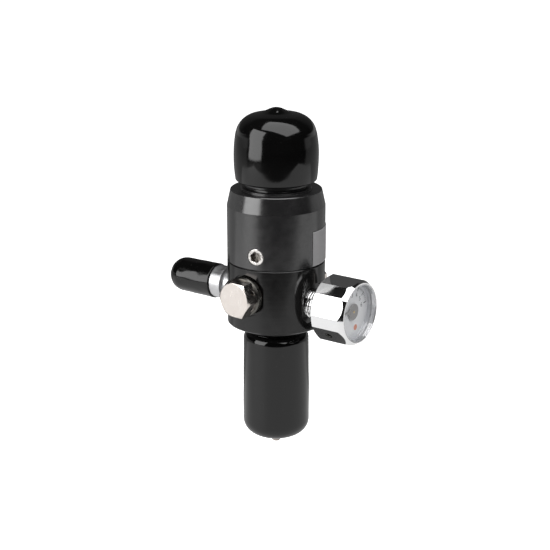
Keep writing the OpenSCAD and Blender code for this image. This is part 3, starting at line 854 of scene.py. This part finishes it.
# Angles in degrees from the dial's right, sizes in millimetres. The scale has five steps to a number.
DIAL_ZERO = 172
DIAL_STEP = -27
DIAL_COUNT = 6
DIAL_PARTS = 5
TICK_END = 8.3
LONG_TICK = (6.7, 0.32)
SHORT_TICK = (7.5, 0.16)
NUMERAL_R = 5.4
NUMERAL_SIZE = 2.1
DOT_X = 2.0
DOT_Y = -5.7
DOT_R = 0.95
DOT_SIDES = 40
PRINT_H = 0.02 * MM


def dial_place():
    """Matrix of the dial's face: local X to the reader's right, local Y up, local Z out."""
    face = max(reach(NODES["gauge_dial"].data, GAUGE_OUT))
    right = UP.cross(GAUGE_OUT)
    basis = Matrix((right, UP, GAUGE_OUT)).transposed().to_4x4()
    return Matrix.Translation(GAUGE_AXIS[0] + GAUGE_OUT * face) @ basis


def plate(bm, points):
    """Thin flat prism on the dial from its outline in millimetres."""
    low = [bm.verts.new((x * MM, y * MM, 0)) for x, y in points]
    high = [bm.verts.new((x * MM, y * MM, PRINT_H)) for x, y in points]
    count = len(points)
    bm.faces.new(high)
    bm.faces.new(low[::-1])
    for i in range(count):
        j = (i + 1) % count
        bm.faces.new((low[i], low[j], high[j], high[i]))


def tick(bm, angle, start, width):
    """Radial bar of the scale, from the radius start out to TICK_END."""
    c = cos(radians(angle))
    s = sin(radians(angle))
    half = width / 2
    corners = ((start, -half), (TICK_END, -half), (TICK_END, half), (start, half))
    plate(bm, [(r * c - side * s, r * s + side * c) for r, side in corners])


def numeral(bm, text, x, y):
    """Adds one number, centred at (x, y) millimetres."""
    curve = bpy.data.curves.new("numeral", "FONT")
    curve.body = text
    curve.size = NUMERAL_SIZE * MM
    curve.extrude = PRINT_H / 2
    curve.align_x = "CENTER"
    curve.align_y = "CENTER"
    holder = in_scene("numeral", curve)
    bpy.context.view_layer.update()
    shaped = holder.evaluated_get(bpy.context.evaluated_depsgraph_get())
    mesh = bpy.data.meshes.new_from_object(shaped)
    mesh.transform(Matrix.Translation((x * MM, y * MM, PRINT_H / 2)))
    bm.from_mesh(mesh)
    bpy.data.objects.remove(holder)
    bpy.data.curves.remove(curve)
    bpy.data.meshes.remove(mesh)


def finish_print(name, bm, material):
    """Lays a print on the dial as a piece."""
    mesh = bm_to_mesh(bm, name, dial_place())
    mesh.materials.append(material)
    add_piece(name, mesh, "regulator_body")


def dial_print():
    """Scale, numbers and a plain dot, printed on the dial."""
    ink = paint("dial_ink", INK_BLUE, 0.45)
    scale = bmesh.new()
    for i in range(DIAL_COUNT * DIAL_PARTS + 1):
        start, width = SHORT_TICK if i % DIAL_PARTS else LONG_TICK
        tick(scale, DIAL_ZERO + DIAL_STEP * i / DIAL_PARTS, start, width)
    finish_print("dial_scale", scale, ink)
    numbers = bmesh.new()
    for i in range(DIAL_COUNT + 1):
        angle = radians(DIAL_ZERO + DIAL_STEP * i)
        numeral(numbers, str(i), NUMERAL_R * cos(angle), NUMERAL_R * sin(angle))
    finish_print("dial_numbers", numbers, ink)
    dot = bmesh.new()
    turns = [2 * pi * i / DOT_SIDES for i in range(DOT_SIDES)]
    plate(dot, [(DOT_X + DOT_R * cos(a), DOT_Y + DOT_R * sin(a)) for a in turns])
    finish_print("dial_dot", dot, paint("dial_orange", DOT_ORANGE, 0.45))


dial_print()


# ---------------------------------------------------------------- studio

# The floor reaches this far each way, and lies this far under the pulled bottle cap.
FLOOR_HALF = 3.0
FLOOR_GAP = 2 * MM

# Zones of the floor in metres: each is dark at its first number and lit from its second on.
TABLE_FRONT = (-0.33, -0.31)
TABLE_BACK = (0.20, 0.13)
TABLE_SIDE = (0.62, 0.58)
FAR_FRONT = (-0.15, 0)

# Out to the left and right the floor brightens with the sine of its angle from straight ahead.
FAR_TURN = (0.2, 0.5)
FAR_LIGHT = (0.05, 0.45)

# Glow and reflectance of a lit zone, for light and mirrors.
FLOOR_GLOW = 0.55
FLOOR_PAINT = 0.3

# What the world shows to the eye, and what light and mirrors get from it.
WORLD_SEEN = 1.02
WORLD_DARK = 0.012
WALL_LIGHT = 0.05
SWEEP_LIGHT = 0.4

# The camera's fit to the photograph, which is taken to be 550 pixels wide.
PHOTO_PX = 550
FOCAL_PX = 1400
SENSOR_MM = 36
PITCH = radians(17)
CAMERA_AWAY = 456.5 * MM
CAMERA_AIM = Vector((-0.40 * MM, 0, 16.5 * MM))


def floor():
    """White to the eye. For light and mirrors it glows in a zone round the object and, dimmer, behind it to
    the left and right, and is dark elsewhere."""
    lowest = cad_box[0].z - JOINTS["bottle_cap_pull"]["range_m"][1]
    z = lowest - FLOOR_GAP
    bm = bmesh.new()
    corners = ((-1, -1), (1, -1), (1, 1), (-1, 1))
    bm.faces.new([bm.verts.new((x * FLOOR_HALF, y * FLOOR_HALF, z)) for x, y in corners])
    mesh = bpy.data.meshes.new("floor")
    bm.to_mesh(mesh)
    bm.free()
    look = Look("floor_white", (0.8, 0.8, 0.8), 0.6)
    x, y, _ = look.parts(look.place())
    aside = look.size(x)
    front = look.spread(y, *TABLE_FRONT)
    back = look.spread(y, *TABLE_BACK)
    near = look.times(front, back, look.spread(aside, *TABLE_SIDE))
    turn = look.math("DIVIDE", aside, look.vector("LENGTH", look.place()))
    far = look.times(look.spread(turn, *FAR_TURN, *FAR_LIGHT), look.spread(y, *FAR_FRONT))
    lit = look.math("MAXIMUM", near, far)
    eye = look.add("LightPath").outputs["Is Camera Ray"]
    pale = look.math("MAXIMUM", eye, look.times(lit, FLOOR_PAINT))
    look.set("Base Color", look.mix(pale, (0.01, 0.01, 0.01), (0.8, 0.8, 0.8)))
    look.set("Emission Color", (1, 1, 1, 1))
    look.set("Emission Strength", look.plus(look.times(lit, FLOOR_GLOW), eye))
    mesh.materials.append(look.material)
    in_scene("floor", mesh)


def world():
    """White to the eye. For light and mirrors it is a sweep low on both sides, a faint wall behind and a
    dark room elsewhere."""
    room = bpy.data.worlds.new("studio")
    bpy.context.scene.world = room
    room.use_nodes = True
    sky = Tree(room.node_tree)
    x, y, z = sky.parts(sky.add("TexCoord").outputs["Generated"])
    aside = sky.spread(sky.size(x), 0.2, 0.5)
    behind = sky.spread(y, -0.15, 0.05)
    low = sky.spread(z, 0.14, 0.04)
    sweep = sky.times(aside, behind, low)
    wall = sky.times(sky.spread(y, 0.4, 0.7), sky.spread(z, 0.75, 0.6))
    dim = sky.plus(sky.times(wall, WALL_LIGHT), WORLD_DARK)
    unseen = sky.plus(dim, sky.times(sweep, SWEEP_LIGHT))
    eye = sky.add("LightPath").outputs["Is Camera Ray"]
    seen = sky.times(eye, WORLD_SEEN)
    strength = sky.plus(seen, sky.times(sky.math("SUBTRACT", 1.0, eye), unseen))
    background = room.node_tree.nodes["Background"]
    sky.link(strength, background.inputs["Strength"])
    background.inputs["Color"].default_value = (1, 1, 1, 1)


def softbox(name, azimuth, elevation, distance, width, height, radiance, spin=0.0):
    """Rectangular area light aimed at the object; azimuth from +X in degrees, radiance in scene units."""
    a = radians(azimuth)
    e = radians(elevation)
    aim = (cad_box[0] + cad_box[1]) / 2
    way = Vector((cos(a) * cos(e), sin(a) * cos(e), sin(e)))
    lamp = bpy.data.lights.new(name, "AREA")
    lamp.shape = "RECTANGLE"
    lamp.size = width
    lamp.size_y = height
    lamp.energy = radiance * pi * width * height
    turn = (-way).to_track_quat("-Z", "Y").to_matrix().to_4x4() @ Matrix.Rotation(radians(spin), 4, "Z")
    in_scene(name, lamp).matrix_world = Matrix.Translation(aim + way * distance) @ turn


def camera():
    """The photograph's view: level sides, looking along +Y and down by PITCH."""
    data = bpy.data.cameras.new("camera")
    data.sensor_width = SENSOR_MM
    data.lens = SENSOR_MM * FOCAL_PX / PHOTO_PX
    data.clip_start = 0.01
    holder = in_scene("camera", data)
    holder.location = CAMERA_AIM + Vector((0, -cos(PITCH), sin(PITCH))) * CAMERA_AWAY
    holder.rotation_euler = (pi / 2 - PITCH, 0, 0)
    bpy.context.scene.camera = holder


floor()
world()
softbox("softbox_left", -150, 20, distance=0.75, width=0.58, height=0.72, radiance=3.5)
softbox("softbox_top", -57, 66, distance=0.80, width=0.84, height=1.28, radiance=2.8, spin=30)
camera()
bpy.context.scene.view_settings.view_transform = "Standard"
